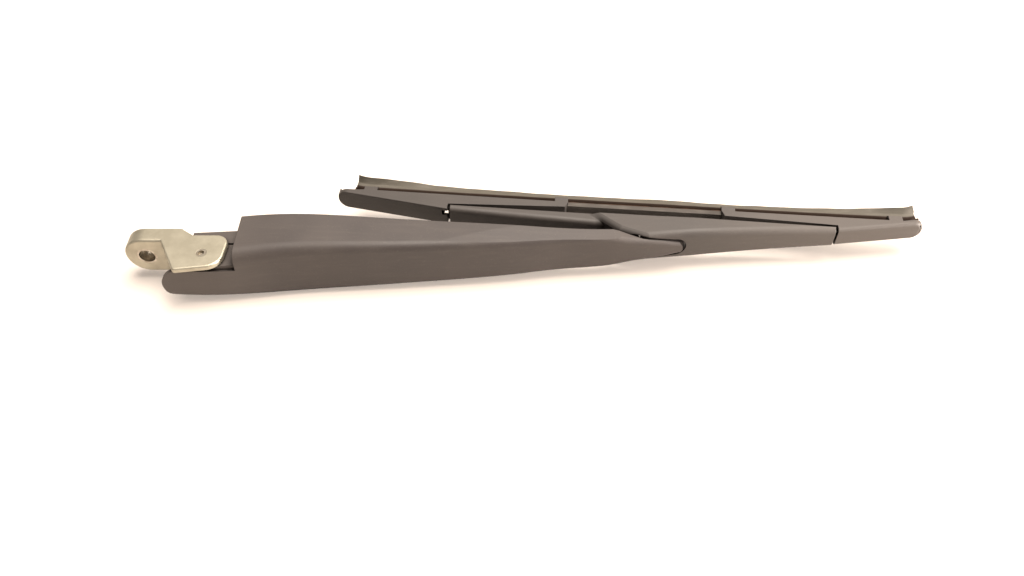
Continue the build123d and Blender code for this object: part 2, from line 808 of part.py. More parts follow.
nodes = {
    "arm_head": arm_head(),
    "spindle_bush": spindle_bush(),
    "hinge_pin": hinge_pin(),
    "arm_shell": arm_shell(),
    "spring_anchor_pin": spring_anchor_pin(),
    "pivot_bush": pivot_bush(),
    "tension_spring": tension_spring(),
    "spring_link": spring_link(),
    "blade_bridge": blade_frame * blade_bridge(),
    "blade_pivot_pin": blade_frame * blade_pivot_pin(),
    "inner_yoke": blade_frame * inner_yoke(),
    "inner_yoke_pin": blade_frame * yoke_pin(inner_yoke_pin_x),
    "outer_yoke": blade_frame * outer_yoke(),
    "outer_yoke_pin": blade_frame * yoke_pin(outer_yoke_pin_x),
    "wiper_rubber": blade_frame * wiper_rubber(),
    "rail_upper": blade_frame * rail(),
    "rail_lower": blade_frame * mirror(rail(), about=Plane.XY),
}

os.makedirs("parts", exist_ok=True)
for name, solid in nodes.items():
    export_step(solid, f"parts/{name}.step")
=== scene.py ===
"""Rear-window wiper arm with its blade: finishes, rubber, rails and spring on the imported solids.

The frame is the solids' own: +X along the arm, +Y to the glass, +Z up from the table. Lengths are in
millimetres until a mesh or a node takes them. The table, the lights and the camera are placed in metres.
"""

import bpy
import numpy as np
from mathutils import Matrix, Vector


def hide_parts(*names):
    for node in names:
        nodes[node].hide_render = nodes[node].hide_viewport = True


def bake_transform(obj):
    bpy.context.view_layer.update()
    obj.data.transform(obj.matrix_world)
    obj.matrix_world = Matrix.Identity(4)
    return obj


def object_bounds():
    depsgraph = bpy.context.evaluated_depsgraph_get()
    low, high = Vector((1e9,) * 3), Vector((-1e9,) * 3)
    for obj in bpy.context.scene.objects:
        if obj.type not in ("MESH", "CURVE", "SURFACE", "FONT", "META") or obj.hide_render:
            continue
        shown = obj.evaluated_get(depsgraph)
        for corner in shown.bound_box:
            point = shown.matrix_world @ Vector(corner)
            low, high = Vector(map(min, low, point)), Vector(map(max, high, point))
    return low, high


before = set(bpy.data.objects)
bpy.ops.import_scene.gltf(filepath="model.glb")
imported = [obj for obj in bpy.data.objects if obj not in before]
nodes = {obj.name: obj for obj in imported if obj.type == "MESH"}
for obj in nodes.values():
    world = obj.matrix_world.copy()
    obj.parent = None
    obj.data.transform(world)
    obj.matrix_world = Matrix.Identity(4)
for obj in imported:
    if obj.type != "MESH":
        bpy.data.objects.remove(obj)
cad_low, cad_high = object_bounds()

MM = 0.001

# Blade: its pivot on the arm and its tilt, then the rubber's height and its ends, split and claws along it
PIVOT = (256.0, 11.5)
BLADE_TILT = np.radians(4.8)
RAIL_LINE = 22.2
RUBBER_SPLIT = -2.5
RUBBER_ENDS = (-157.8, 140.3)
INNER_CLAW_X = -43.0
OUTER_CLAW_X = 38.0

# Section of the rubber: heights from the rail line towards the glass, and half widths
BACK_HEIGHT = -3.6
GROOVE_HEIGHT = 0.5
GROOVE_HALF = 1.5
HEAD_HEIGHT = 1.0
HEAD_HALF = 3.4
NECK_HEIGHT = 2.2
NECK_HALF = 0.9
LIP_ROOT = (2.6, 2.2)
LIP_MIDDLE = (5.6, 1.2)
LIP_EDGE = (8.4, 0.45)
RUBBER_ROUNDING = 0.22

# Lip along the blade: x and the sideways set of its edge there, and its drop per square of its lean
LIP_SET = [(-158, 6.2), (-141, 4.9), (-116, 1.7), (-88, 0.4), (-36, -0.4), (7, 0.2), (50, -0.5), (77, 0.2),
           (106, 1.5), (126, 4.5), (141, 6.2)]
LIP_DROP = 0.025

# Ripples of the lip: the size, the length for one radian and the phase of each wave
RIPPLES = [(0.12, 7.3, 0.0), (0.07, 2.9, 1.0)]

# Free ends of the rubber, inner and outer: where each starts, its lift one length on, and its cut's slant
FREE_FROM = (-147.0, 129.0)
FREE_LENGTH = 11.0
FREE_LIFT = (1.2, 1.4)
CUT_SLANT = (0.9, 2.4)
CUT_RUN = 9.0

# Outer cut: its notch, and its fray's waves as size, radians per mm of height and of width, and phase
NOTCH_DEPTH = 1.3
NOTCH_HEIGHT = 3.6
NOTCH_REACH = 0.9
FRAY = [(0.35, 2.3, 0.0, 0.7), (0.25, 5.1, 1.9, 0.0)]

# Rails: the distance of their middle from the blade's middle plane, and half their height and width
RAIL_MIDDLE = 2.35
RAIL_HALF_HEIGHT = 0.42
RAIL_HALF_WIDTH = 0.78
RAIL_ROUNDING = 0.15

# Spring: its bar in the head and anchor in the arm, its wire and coil, its cones, whose start and turns are
# in whole turns, and its end rings, placed along it from the bar
HOOK_BAR = (27.0, 0.9)
ANCHOR = (128.0, 3.5)
WIRE_RADIUS = 0.73
COIL_RADIUS = 4.1
COIL_PITCH = 1.5
COIL_TURNS = 36.75
CONE_LENGTH = 2.2
CONE_START = 0.25
CONE_TURNS = 0.5
RING_RADIUS = 3.3
LINK_RING_X = 33.3
LINK_RING_DEGREES = (35, 360)
ANCHOR_RING_X = 100.93
ANCHOR_RING_DEGREES = (180, 500)

# Meshes: the most of a side that a corner's round takes, one unit of the rubber's map, and the fineness
SHORT_SIDE_SHARE = 0.45
MAP_LENGTH = 100.0
CORNER_POINTS = 4
RUBBER_RINGS = 130
RAIL_RINGS = 90
WIRE_SIDES = 10
RING_POINTS = 60
CONE_POINTS = 24
TURN_POINTS = 30

# Where painted shade lies: the tongue's nose and the bevel in the frame, the pocket and the channel on the
# blade
TONGUE_NOSE = {"x": 268.4, "radius": 4.6}
BRIDGE_BEVEL = {"x_from": 232, "x_to": 251, "z_lit": 8.7, "z_shaded": 7.7}
BRIDGE_POCKET = {"x": 13.5, "radius": 5.4}
BRIDGE_CHANNEL = {"x_from": 6, "x_to": 18.8, "y_lit": -1.5, "half": 7.9}
MOST_PAINTED_SHADE = 0.95
MOST_BEVEL_PAINTED_SHADE = 0.857

# Table: half its side in metres, and its gap below the part in millimetres
TABLE_HALF = 4.0
TABLE_GAP = 0.2


# Meshes

def on_blade(points):
    """Points of the blade, turned by its tilt about the pivot into the frame."""
    x, y, z = np.moveaxis(points, -1, 0)
    c, s = np.cos(BLADE_TILT), np.sin(BLADE_TILT)
    return np.stack([PIVOT[0] + c * x + s * y, PIVOT[1] - s * x + c * y, z], axis=-1)


def on_spring(points):
    """Points along the spring, measured from the hook bar towards the anchor, turned into the frame."""
    turn = np.arctan2(ANCHOR[1] - HOOK_BAR[1], ANCHOR[0] - HOOK_BAR[0])
    x, y, z = np.moveaxis(points, -1, 0)
    c, s = np.cos(turn), np.sin(turn)
    return np.stack([HOOK_BAR[0] + c * x - s * y, HOOK_BAR[1] + s * x + c * y, z], axis=-1)


def eased(start, end, x):
    """Runs from 0 at start to 1 at end as 3t^2 - 2t^3, and stays level outside them."""
    t = np.clip((x - start) / (end - start), 0, 1)
    return t * t * (3 - 2 * t)


def soften(corners, radius):
    """A closed outline with each corner replaced by a parabola between points one radius away from it, or
    a share of the side away where the side is short."""
    corners = np.asarray(corners, float)

    def reach(side):
        """Points that far from each corner along its side."""
        length = np.linalg.norm(side, axis=1, keepdims=True)
        return (corners + side * np.minimum(radius / length, SHORT_SIDE_SHARE))[:, None]

    first = reach(np.roll(corners, 1, axis=0) - corners)
    last = reach(np.roll(corners, -1, axis=0) - corners)
    t = np.linspace(0, 1, CORNER_POINTS)[None, :, None]
    rounds = (1 - t) ** 2 * first + 2 * t * (1 - t) * corners[:, None] + t ** 2 * last
    return rounds.reshape(-1, 2)


def link_to_scene(name, data):
    """A new object in the scene, at the origin."""
    piece = bpy.data.objects.new(name, data)
    bpy.context.scene.collection.objects.link(piece)
    return piece


def tube(name, rings, finish, uv=None):
    """Closed skin over rings of points: smooth four-sided faces between the rings, and over each end a flat
    face with a sharp edge."""
    count, sides = rings.shape[:2]
    here = np.arange(count * sides).reshape(count, sides)
    beside = np.roll(here, -1, axis=1)
    quads = np.stack([here[:-1], here[1:], beside[1:], beside[:-1]], axis=-1).reshape(-1, 4)
    faces = [*quads.tolist(), here[0].tolist(), here[-1][::-1].tolist()]
    mesh = bpy.data.meshes.new(name)
    mesh.from_pydata((rings.reshape(-1, 3) * MM).tolist(), [], faces)
    smooth = np.ones(len(faces), bool)
    smooth[-2:] = False
    mesh.polygons.foreach_set("use_smooth", smooth)
    edges = np.zeros(len(mesh.edges) * 2, np.int32)
    mesh.edges.foreach_get("vertices", edges)
    ring = edges.reshape(-1, 2) // sides
    sharp = (ring == 0).all(axis=1) | (ring == count - 1).all(axis=1)
    mesh.edges.foreach_set("use_edge_sharp", sharp)
    if uv is not None:
        corner = np.zeros(len(mesh.loops), np.int32)
        mesh.loops.foreach_get("vertex_index", corner)
        layer = mesh.uv_layers.new(name="section")
        layer.data.foreach_set("uv", uv.reshape(-1, 2)[corner].astype(np.float32).ravel())
    mesh.materials.append(finish)
    return link_to_scene(name, mesh)


# Nodes

def linear(colour):
    """An sRGB hex colour as the linear one that a socket takes."""
    channels = np.array([int(colour[i:i + 2], 16) for i in (1, 3, 5)]) / 255
    low, high = channels / 12.92, ((channels + 0.055) / 1.055) ** 2.4
    return (*np.where(channels <= 0.04045, low, high).tolist(), 1.0)


def add(tree, kind, inputs=None, **settings):
    """One node: settings go to the node, and an input takes a number, a colour or another node's socket."""
    node = tree.nodes.new(kind)
    for key, value in settings.items():
        setattr(node, key, value)
    for key, value in (inputs or {}).items():
        if isinstance(value, bpy.types.NodeSocket):
            tree.links.new(value, node.inputs[key])
        else:
            node.inputs[key].default_value = value
    return node


def begin(name):
    """A new material with its tree and its shader."""
    material = bpy.data.materials.new(name)
    material.use_nodes = True
    return material, material.node_tree, material.node_tree.nodes["Principled BSDF"]


def per_metre(size_mm):
    """Scale of a noise whose marks are about that many millimetres wide."""
    return 1 / (size_mm * MM)


# Painted shade

def painted_shade_within(tree, most, limits):
    """Share of painted shade inside several limits: the most it can be, times a step for each limit that
    runs from 0 where its value is unshaded to 1 where it is shaded."""
    share = most
    for value, unshaded, shaded in limits:
        step = add(tree, "ShaderNodeMapRange", {
            "Value": value, "From Min": unshaded * MM, "From Max": shaded * MM}).outputs["Result"]
        share = add(tree, "ShaderNodeMath", {0: share, 1: step}, operation="MULTIPLY").outputs["Value"]
    return share


def from_pivot(tree, place):
    """A place in the frame as it is measured on the blade, from its pivot and along its tilt."""
    pivot = (PIVOT[0] * MM, PIVOT[1] * MM, 0)
    offset = add(tree, "ShaderNodeVectorMath", {0: place, 1: pivot}, operation="SUBTRACT").outputs["Vector"]
    turned = add(tree, "ShaderNodeMapping", {"Vector": offset, "Rotation": (0, 0, BLADE_TILT)})
    return turned.outputs["Vector"]


def off_axis(tree, place, x):
    """Distance of a place from an axis that runs along y through x."""
    offset = add(tree, "ShaderNodeVectorMath", {0: place, 1: (x * MM, 0, 0)}, operation="SUBTRACT")
    flat = add(tree, "ShaderNodeVectorMath", {
        0: offset.outputs["Vector"], 1: (1, 0, 1)}, operation="MULTIPLY")
    length = add(tree, "ShaderNodeVectorMath", {0: flat.outputs["Vector"]}, operation="LENGTH")
    return length.outputs["Value"]


def bevel_painted_shade(tree, place, x_from, x_to, z_lit, z_shaded):
    """Share of painted shade on a bevel: none at z_lit, most at z_shaded, and fading out 4 mm past each end
    in x.
    """
    axes = add(tree, "ShaderNodeSeparateXYZ", {"Vector": place}).outputs
    return painted_shade_within(tree, MOST_BEVEL_PAINTED_SHADE, [
        (axes["Z"], z_lit, z_shaded), (axes["X"], x_from - 4, x_from), (axes["X"], x_to + 4, x_to)])


def pocket_painted_shade(tree, place, x, radius):
    """Share of painted shade in the round pocket of the bridge, whose axis stands at x on the blade: most on
    its wall and floor, none 0.12 mm past its radius."""
    distance = off_axis(tree, from_pivot(tree, place), x)
    return painted_shade_within(tree, MOST_PAINTED_SHADE, [(distance, radius + 0.12, radius + 0.02)])


def channel_painted_shade(tree, place, x_from, x_to, y_lit, half):
    """Share of painted shade inside the bridge's channel: between two places along the blade, deeper than
    y_lit and within half a width of the middle plane. It fades over 2 mm along, 0.5 mm in depth and 0.2 mm
    across."""
    axes = add(tree, "ShaderNodeSeparateXYZ", {"Vector": from_pivot(tree, place)}).outputs
    width = add(tree, "ShaderNodeMath", {0: axes["Z"]}, operation="ABSOLUTE").outputs["Value"]
    return painted_shade_within(tree, MOST_PAINTED_SHADE, [
        (axes["X"], x_from - 2, x_from), (axes["X"], x_to + 2, x_to),
        (axes["Y"], y_lit, y_lit + 0.5), (width, half, half - 0.2)])


def rim_painted_shade(tree, place, x, radius):
    """Share of painted shade on the rim of the tongue's nose, which is round about x: most from 0.15 mm
    inside its radius outwards, none 0.4 mm inside it or 1 mm behind x."""
    along = add(tree, "ShaderNodeSeparateXYZ", {"Vector": place}).outputs["X"]
    return painted_shade_within(tree, MOST_PAINTED_SHADE, [
        (off_axis(tree, place, x), radius - 0.4, radius - 0.15), (along, x - 1, x + 0.5)])


# Materials

def weathered_plastic_with_painted_light(name, fresh, bleached, streak, sound_x, faded_x, shade_marks):
    """Glass-filled plastic, moulded black and gone grey outdoors: dull, with a fine moulded grain, faint
    pale patches, streaks and specks of dust. Painted light makes it paler from sound_x to faded_x, and
    painted shade darkens its crevices and gaps and takes out their shine: from an ambient-occlusion mask,
    and from shade_marks, which lists more places of painted shade, each as the function that gives its share
    and the place for it."""
    material, tree, shader = begin(name)
    place = add(tree, "ShaderNodeTexCoord").outputs["Object"]
    along = add(tree, "ShaderNodeMapping", {"Vector": place, "Scale": (0.12, 1, 1)}).outputs["Vector"]
    patches = add(tree, "ShaderNodeTexNoise", {"Vector": place, "Scale": per_metre(28), "Detail": 4})
    streaks = add(tree, "ShaderNodeTexNoise", {"Vector": along, "Scale": per_metre(2.2), "Detail": 3})
    specks = add(tree, "ShaderNodeTexNoise", {"Vector": place, "Scale": per_metre(0.9), "Detail": 2})
    x = add(tree, "ShaderNodeSeparateXYZ", {"Vector": place}).outputs["X"]
    # Painted light: the colour turns paler from sound_x to faded_x
    faded = add(tree, "ShaderNodeMapRange", {
        "Value": x, "From Min": sound_x * MM, "From Max": faded_x * MM}, interpolation_type="SMOOTHSTEP")
    patch = add(tree, "ShaderNodeMapRange", {
        "Value": patches.outputs["Fac"], "From Min": 0.34, "From Max": 0.68, "To Max": 0.3})
    pale = add(tree, "ShaderNodeMath", {
        0: faded.outputs["Result"], 1: patch.outputs["Result"]}, operation="MAXIMUM")
    streaked = add(tree, "ShaderNodeMapRange", {
        "Value": streaks.outputs["Fac"], "From Min": 0.5, "From Max": 0.78, "To Max": 0.1})
    specked = add(tree, "ShaderNodeMapRange", {
        "Value": specks.outputs["Fac"], "From Min": 0.6, "From Max": 0.74, "To Max": 0.18})
    # Painted shade: an ambient-occlusion mask and the shade_marks darken crevices and gaps towards #120e0c
    # and take out their shine
    hollow = add(tree, "ShaderNodeAmbientOcclusion", {"Distance": 5 * MM}, samples=8, only_local=False)
    shade_share = add(tree, "ShaderNodeMapRange", {
        "Value": hollow.outputs["AO"], "From Min": 0.9, "From Max": 0.5, "To Max": 0.9}).outputs["Result"]
    for share_of, where in shade_marks:
        shade_share = add(tree, "ShaderNodeMath", {
            0: shade_share, 1: share_of(tree, place, **where)}, operation="MAXIMUM").outputs["Value"]
    colour = linear(fresh)
    for share, tint in ((pale.outputs["Value"], bleached), (streaked.outputs["Result"], streak),
                        (specked.outputs["Result"], streak), (shade_share, "#120e0c")):
        colour = add(tree, "ShaderNodeMix", {
            "Factor": share, "A": colour, "B": linear(tint)}, data_type="RGBA").outputs["Result"]
    tree.links.new(colour, shader.inputs["Base Color"])
    shine = add(tree, "ShaderNodeMapRange", {"Value": shade_share, "To Min": 0.5, "To Max": 0.03})
    tree.links.new(shine.outputs["Result"], shader.inputs["Specular IOR Level"])
    dull = add(tree, "ShaderNodeMapRange", {
        "Value": patches.outputs["Fac"], "To Min": 0.48, "To Max": 0.72})
    tree.links.new(dull.outputs["Result"], shader.inputs["Roughness"])
    # The mould's grain is about 0.2 mm and is drawn at 0.6 mm so that it shows
    grain = add(tree, "ShaderNodeTexNoise", {"Vector": place, "Scale": per_metre(0.6), "Detail": 2})
    edges = add(tree, "ShaderNodeBevel", {"Radius": 0.5 * MM}, samples=6)
    bump = add(tree, "ShaderNodeBump", {
        "Height": grain.outputs["Fac"], "Strength": 0.25, "Distance": 0.1 * MM,
        "Normal": edges.outputs["Normal"]})
    tree.links.new(bump.outputs["Normal"], shader.inputs["Normal"])
    return material


def cast_zinc():
    """Die-cast zinc alloy, dull from weather: warm grey metal with a soft sheen, stains and fine pits."""
    material, tree, shader = begin("cast_zinc")
    place = add(tree, "ShaderNodeTexCoord").outputs["Object"]
    stains = add(tree, "ShaderNodeTexNoise", {"Vector": place, "Scale": per_metre(9), "Detail": 5})
    stained = add(tree, "ShaderNodeMapRange", {
        "Value": stains.outputs["Fac"], "From Min": 0.38, "From Max": 0.66})
    colour = add(tree, "ShaderNodeMix", {
        "Factor": stained.outputs["Result"], "A": linear("#a09a89"), "B": linear("#b6b09e")},
        data_type="RGBA")
    tree.links.new(colour.outputs["Result"], shader.inputs["Base Color"])
    shader.inputs["Metallic"].default_value = 0.75
    sheen = add(tree, "ShaderNodeMapRange", {
        "Value": stains.outputs["Fac"], "To Min": 0.55, "To Max": 0.36})
    tree.links.new(sheen.outputs["Result"], shader.inputs["Roughness"])
    # The cast skin is pitted at about 0.3 mm and is drawn at 0.8 mm so that it shows
    pits = add(tree, "ShaderNodeTexNoise", {"Vector": place, "Scale": per_metre(0.8), "Detail": 3})
    edges = add(tree, "ShaderNodeBevel", {"Radius": 0.6 * MM}, samples=6)
    bump = add(tree, "ShaderNodeBump", {
        "Height": pits.outputs["Fac"], "Strength": 0.3, "Distance": 0.12 * MM,
        "Normal": edges.outputs["Normal"]})
    tree.links.new(bump.outputs["Normal"], shader.inputs["Normal"])
    return material


def aged_rubber():
    """Natural rubber, moulded and aged: matt, grey-brown at the back, dark brown and less shiny in a band
    from the rail grooves to the lip, and khaki with bloom on the lip. The map's second axis runs from 0 at
    the back of the section to 1 at the lip's edge."""
    material, tree, shader = begin("aged_rubber")
    place = add(tree, "ShaderNodeTexCoord")
    height = add(tree, "ShaderNodeSeparateXYZ", {"Vector": place.outputs["UV"]}).outputs["Y"]
    head = add(tree, "ShaderNodeMapRange", {"Value": height, "From Min": 0.22, "From Max": 0.27})
    lip = add(tree, "ShaderNodeMapRange", {"Value": height, "From Min": 0.58, "From Max": 0.64})
    dark_head_band = add(tree, "ShaderNodeMath", {
        0: head.outputs["Result"], 1: lip.outputs["Result"]}, operation="SUBTRACT").outputs["Value"]
    along = add(tree, "ShaderNodeMapping", {"Vector": place.outputs["Object"], "Scale": (0.2, 1, 1)})
    dust = add(tree, "ShaderNodeTexNoise", {
        "Vector": along.outputs["Vector"], "Scale": per_metre(1.6), "Detail": 4})
    dusty = add(tree, "ShaderNodeMapRange", {
        "Value": dust.outputs["Fac"], "From Min": 0.45, "From Max": 0.75, "To Max": 0.3})
    colour = linear("#3a342f")
    for share, tint in ((lip.outputs["Result"], "#48433a"), (dusty.outputs["Result"], "#67625a"),
                        (dark_head_band, "#241a14")):
        colour = add(tree, "ShaderNodeMix", {
            "Factor": share, "A": colour, "B": linear(tint)}, data_type="RGBA").outputs["Result"]
    tree.links.new(colour, shader.inputs["Base Color"])
    shine = add(tree, "ShaderNodeMapRange", {"Value": dark_head_band, "To Min": 0.5, "To Max": 0.1})
    tree.links.new(shine.outputs["Result"], shader.inputs["Specular IOR Level"])
    shader.inputs["Roughness"].default_value = 0.75
    # Cracks from age are about 0.2 mm wide and are drawn at 0.7 mm so that they show
    cracks = add(tree, "ShaderNodeTexNoise", {
        "Vector": place.outputs["Object"], "Scale": per_metre(0.7), "Detail": 3})
    bump = add(tree, "ShaderNodeBump", {
        "Height": cracks.outputs["Fac"], "Strength": 0.3, "Distance": 0.1 * MM})
    tree.links.new(bump.outputs["Normal"], shader.inputs["Normal"])
    return material


def steel(name, bright, dull, roughness, mark_mm):
    """Plain steel, drawn or rolled: metal with darker, rougher stains of about mark_mm."""
    material, tree, shader = begin(name)
    place = add(tree, "ShaderNodeTexCoord").outputs["Object"]
    stains = add(tree, "ShaderNodeTexNoise", {"Vector": place, "Scale": per_metre(mark_mm), "Detail": 4})
    stained = add(tree, "ShaderNodeMapRange", {
        "Value": stains.outputs["Fac"], "From Min": 0.4, "From Max": 0.65})
    colour = add(tree, "ShaderNodeMix", {
        "Factor": stained.outputs["Result"], "A": linear(bright), "B": linear(dull)}, data_type="RGBA")
    tree.links.new(colour.outputs["Result"], shader.inputs["Base Color"])
    shader.inputs["Metallic"].default_value = 1.0
    rough = add(tree, "ShaderNodeMapRange", {
        "Value": stains.outputs["Fac"], "To Min": roughness - 0.1, "To Max": roughness + 0.15})
    tree.links.new(rough.outputs["Result"], shader.inputs["Roughness"])
    return material


def acetal():
    """Acetal sleeve, moulded in black: smooth and waxy, with a haze of old grease."""
    material, tree, shader = begin("acetal")
    place = add(tree, "ShaderNodeTexCoord").outputs["Object"]
    grease = add(tree, "ShaderNodeTexNoise", {"Vector": place, "Scale": per_metre(3), "Detail": 3})
    colour = add(tree, "ShaderNodeMix", {
        "Factor": grease.outputs["Fac"], "A": linear("#1c1a19"), "B": linear("#2b2623")}, data_type="RGBA")
    tree.links.new(colour.outputs["Result"], shader.inputs["Base Color"])
    shader.inputs["Roughness"].default_value = 0.35
    shader.inputs["IOR"].default_value = 1.48
    return material


# Rubber and rails

def rubber_outline():
    """Section of the rubber, in height towards the glass and width: back, rail grooves, neck and lip."""
    half = [(BACK_HEIGHT, HEAD_HALF), (-GROOVE_HEIGHT, HEAD_HALF), (-GROOVE_HEIGHT, GROOVE_HALF),
            (GROOVE_HEIGHT, GROOVE_HALF), (GROOVE_HEIGHT, HEAD_HALF), (HEAD_HEIGHT, HEAD_HALF),
            (HEAD_HEIGHT, NECK_HALF), (NECK_HEIGHT, NECK_HALF), LIP_ROOT, LIP_MIDDLE, LIP_EDGE]
    return soften(half + [(y, -z) for y, z in reversed(half)], RUBBER_ROUNDING)


def free_end_lift(x):
    """Lift of the rubber's free ends towards the glass, growing as the cube of the distance along them, to
    about 1.1 mm at the inner end and 1.5 mm at the outer one."""
    inner = np.maximum((FREE_FROM[0] - x) / FREE_LENGTH, 0)
    outer = np.maximum((x - FREE_FROM[1]) / FREE_LENGTH, 0)
    return FREE_LIFT[0] * inner ** 3 + FREE_LIFT[1] * outer ** 3


def lip_lean(x):
    """Sideways set of the lip's edge along the blade, by straight lines between the given places: nearly
    upright mid-blade, curled up at both ends."""
    return np.interp(x, *np.transpose(LIP_SET))


def rubber_strip(name, x_from, x_to, finish):
    """The section carried along the blade. Past the neck each point leans by the lip's set times the square
    of its height, comes down with the square of that lean, and ripples with a sum of sines along the blade.
    Near the free ends the cut slants with height, and the outer one has a bell-shaped notch and frays with
    a sum of sines over the section."""
    x = np.linspace(x_from, x_to, RUBBER_RINGS)[:, None]
    y, z = rubber_outline().T[:, None]
    height = np.clip((y - NECK_HEIGHT) / (LIP_EDGE[0] - NECK_HEIGHT), 0, 1)
    lean = lip_lean(x) * height ** 2
    ripple = height * sum(size * np.sin(x / length + phase) for size, length, phase in RIPPLES)
    inner = 1 - eased(RUBBER_ENDS[0], RUBBER_ENDS[0] + CUT_RUN, x)
    outer = eased(RUBBER_ENDS[1] - CUT_RUN, RUBBER_ENDS[1], x)
    fray = sum(size * np.sin(by_y * y + by_z * z + phase) for size, by_y, by_z, phase in FRAY)
    notch = NOTCH_DEPTH * np.exp(-((y - NOTCH_HEIGHT) / NOTCH_REACH) ** 2)
    along = x + inner * CUT_SLANT[0] * height - outer * (CUT_SLANT[1] * height + notch - fray)
    up = RAIL_LINE + y + free_end_lift(x) - LIP_DROP * lean ** 2
    rings = np.stack(np.broadcast_arrays(along, up, z + lean + ripple), axis=-1)
    from_back = (y - BACK_HEIGHT) / (LIP_EDGE[0] - BACK_HEIGHT)
    uv = np.stack(np.broadcast_arrays(x / MAP_LENGTH, from_back), axis=-1)
    return tube(name, on_blade(rings), finish, uv)


def rail_strip(name, x_from, x_to, side, finish):
    """Flat strip with rounded edges in the rubber's groove on that side: a softened rectangle carried along
    the blade, lifting with the rubber's ends."""
    half_y, half_z = RAIL_HALF_HEIGHT, RAIL_HALF_WIDTH
    corners = [(-half_y, -half_z), (half_y, -half_z), (half_y, half_z), (-half_y, half_z)]
    y, z = soften(corners, RAIL_ROUNDING).T[:, None]
    x = np.linspace(x_from, x_to, RAIL_RINGS)[:, None]
    up = RAIL_LINE + y + free_end_lift(x)
    rings = np.stack(np.broadcast_arrays(x, up, side * RAIL_MIDDLE + z), axis=-1)
    return tube(name, on_blade(rings), finish)


# Spring

def spring_line():
    """Middle of the wire, in five runs: a ring through the link, a cone out to the coil, the helix, a cone
    back and a ring round the anchor. Cones and helix put it at a radius and an angle about the spring's
    axis. With it comes the share of each point in the coil, which is 0 on the rings and 1 on the helix."""
    cone_x = LINK_RING_X + RING_RADIUS
    coil_x = cone_x + CONE_LENGTH
    coil_end = coil_x + COIL_PITCH * COIL_TURNS
    cone_end = ANCHOR_RING_X - RING_RADIUS

    def ring(degrees):
        """Points on a circle from one angle to another: along the spring, across it, and level."""
        turn = np.radians(np.linspace(*degrees, RING_POINTS))
        return RING_RADIUS * np.cos(turn), RING_RADIUS * np.sin(turn), 0 * turn

    along, across, level = ring(LINK_RING_DEGREES)
    first = np.stack([LINK_RING_X + along, level, across], axis=-1)
    along, across, level = ring(ANCHOR_RING_DEGREES)
    last = np.stack([ANCHOR_RING_X + along, across, level], axis=-1)[1:]
    cone = np.linspace(0, 1, CONE_POINTS)[1:]
    wound = np.linspace(0, 1, int(TURN_POINTS * COIL_TURNS))[1:]
    x = np.concatenate([cone_x + (coil_x - cone_x) * cone, coil_x + (coil_end - coil_x) * wound,
                        coil_end + (cone_end - coil_end) * cone])
    radius = COIL_RADIUS * np.concatenate([eased(0, 1, cone), np.ones(wound.size), eased(1, 0, cone)])
    coil_start = CONE_START + CONE_TURNS
    turns = np.concatenate([CONE_START + CONE_TURNS * cone, coil_start + COIL_TURNS * wound,
                            coil_start + COIL_TURNS + CONE_TURNS * cone])
    angle = 2 * np.pi * turns
    coil = np.stack([x, radius * np.cos(angle), radius * np.sin(angle)], axis=-1)
    share = [np.zeros(len(first)), cone, np.ones(wound.size), 1 - cone, np.zeros(len(last))]
    return np.concatenate([first, coil, last]), np.concatenate(share)[:, None]


def spring_coil(finish):
    """Round wire along the spring's line. Its section stands square to the line, and is turned by a guide
    that points along y on the link's ring, along the spring on the coil and along z on the anchor's ring."""
    line, share = spring_line()
    tangent = np.gradient(line, axis=0)
    tangent /= np.linalg.norm(tangent, axis=1, keepdims=True)
    near_link = np.arange(len(line))[:, None] < len(line) / 2
    on_rings = np.where(near_link, [[0, 1, 0]], [[0, 0, 1]])
    guide = share * np.array([[1, 0, 0]]) + (1 - share) * on_rings
    side = guide - (guide * tangent).sum(1, keepdims=True) * tangent
    side /= np.linalg.norm(side, axis=1, keepdims=True)
    other = np.cross(tangent, side)
    angle = np.linspace(0, 2 * np.pi, WIRE_SIDES, endpoint=False)[None, :, None]
    rings = line[:, None] + WIRE_RADIUS * (np.cos(angle) * side[:, None] + np.sin(angle) * other[:, None])
    return tube("spring_coil", on_spring(rings), finish)


# Finishes on the solids
# Painted light on both plastics: each turns paler towards one end, and painted shade darkens the tongue's
# rim and the bridge's bevel, pocket and channel
arm_plastic = weathered_plastic_with_painted_light(
    "weathered_arm_plastic_with_painted_light", fresh="#332d2b", bleached="#4c4541", streak="#5c554d",
    sound_x=90, faded_x=10, shade_marks=[(rim_painted_shade, TONGUE_NOSE)])
blade_plastic = weathered_plastic_with_painted_light(
    "weathered_blade_plastic_with_painted_light", fresh="#35302d", bleached="#453f3b", streak="#5a534d",
    sound_x=262, faded_x=350, shade_marks=[
        (bevel_painted_shade, BRIDGE_BEVEL), (pocket_painted_shade, BRIDGE_POCKET), (channel_painted_shade, BRIDGE_CHANNEL)])
zinc = cast_zinc()
rubber = aged_rubber()
plated = steel("plated_steel", bright="#b9b2a4", dull="#968c7d", roughness=0.4, mark_mm=2.5)
rail_steel = steel("browned_rail_steel", bright="#3a2b22", dull="#241b15", roughness=0.6, mark_mm=4)
spring_steel = steel("oiled_spring_steel", bright="#6f6a64", dull="#4c4741", roughness=0.38, mark_mm=5)
finishes = {
    "arm_shell": arm_plastic,
    "blade_bridge": blade_plastic,
    "inner_yoke": blade_plastic,
    "outer_yoke": blade_plastic,
    "arm_head": zinc,
    "spindle_bush": plated,
    "hinge_pin": plated,
    "spring_anchor_pin": plated,
    "blade_pivot_pin": plated,
    "inner_yoke_pin": plated,
    "outer_yoke_pin": plated,
    "spring_link": spring_steel,
    "pivot_bush": acetal(),
}
for name, finish in finishes.items():
    nodes[name].data.materials.clear()
    nodes[name].data.materials.append(finish)
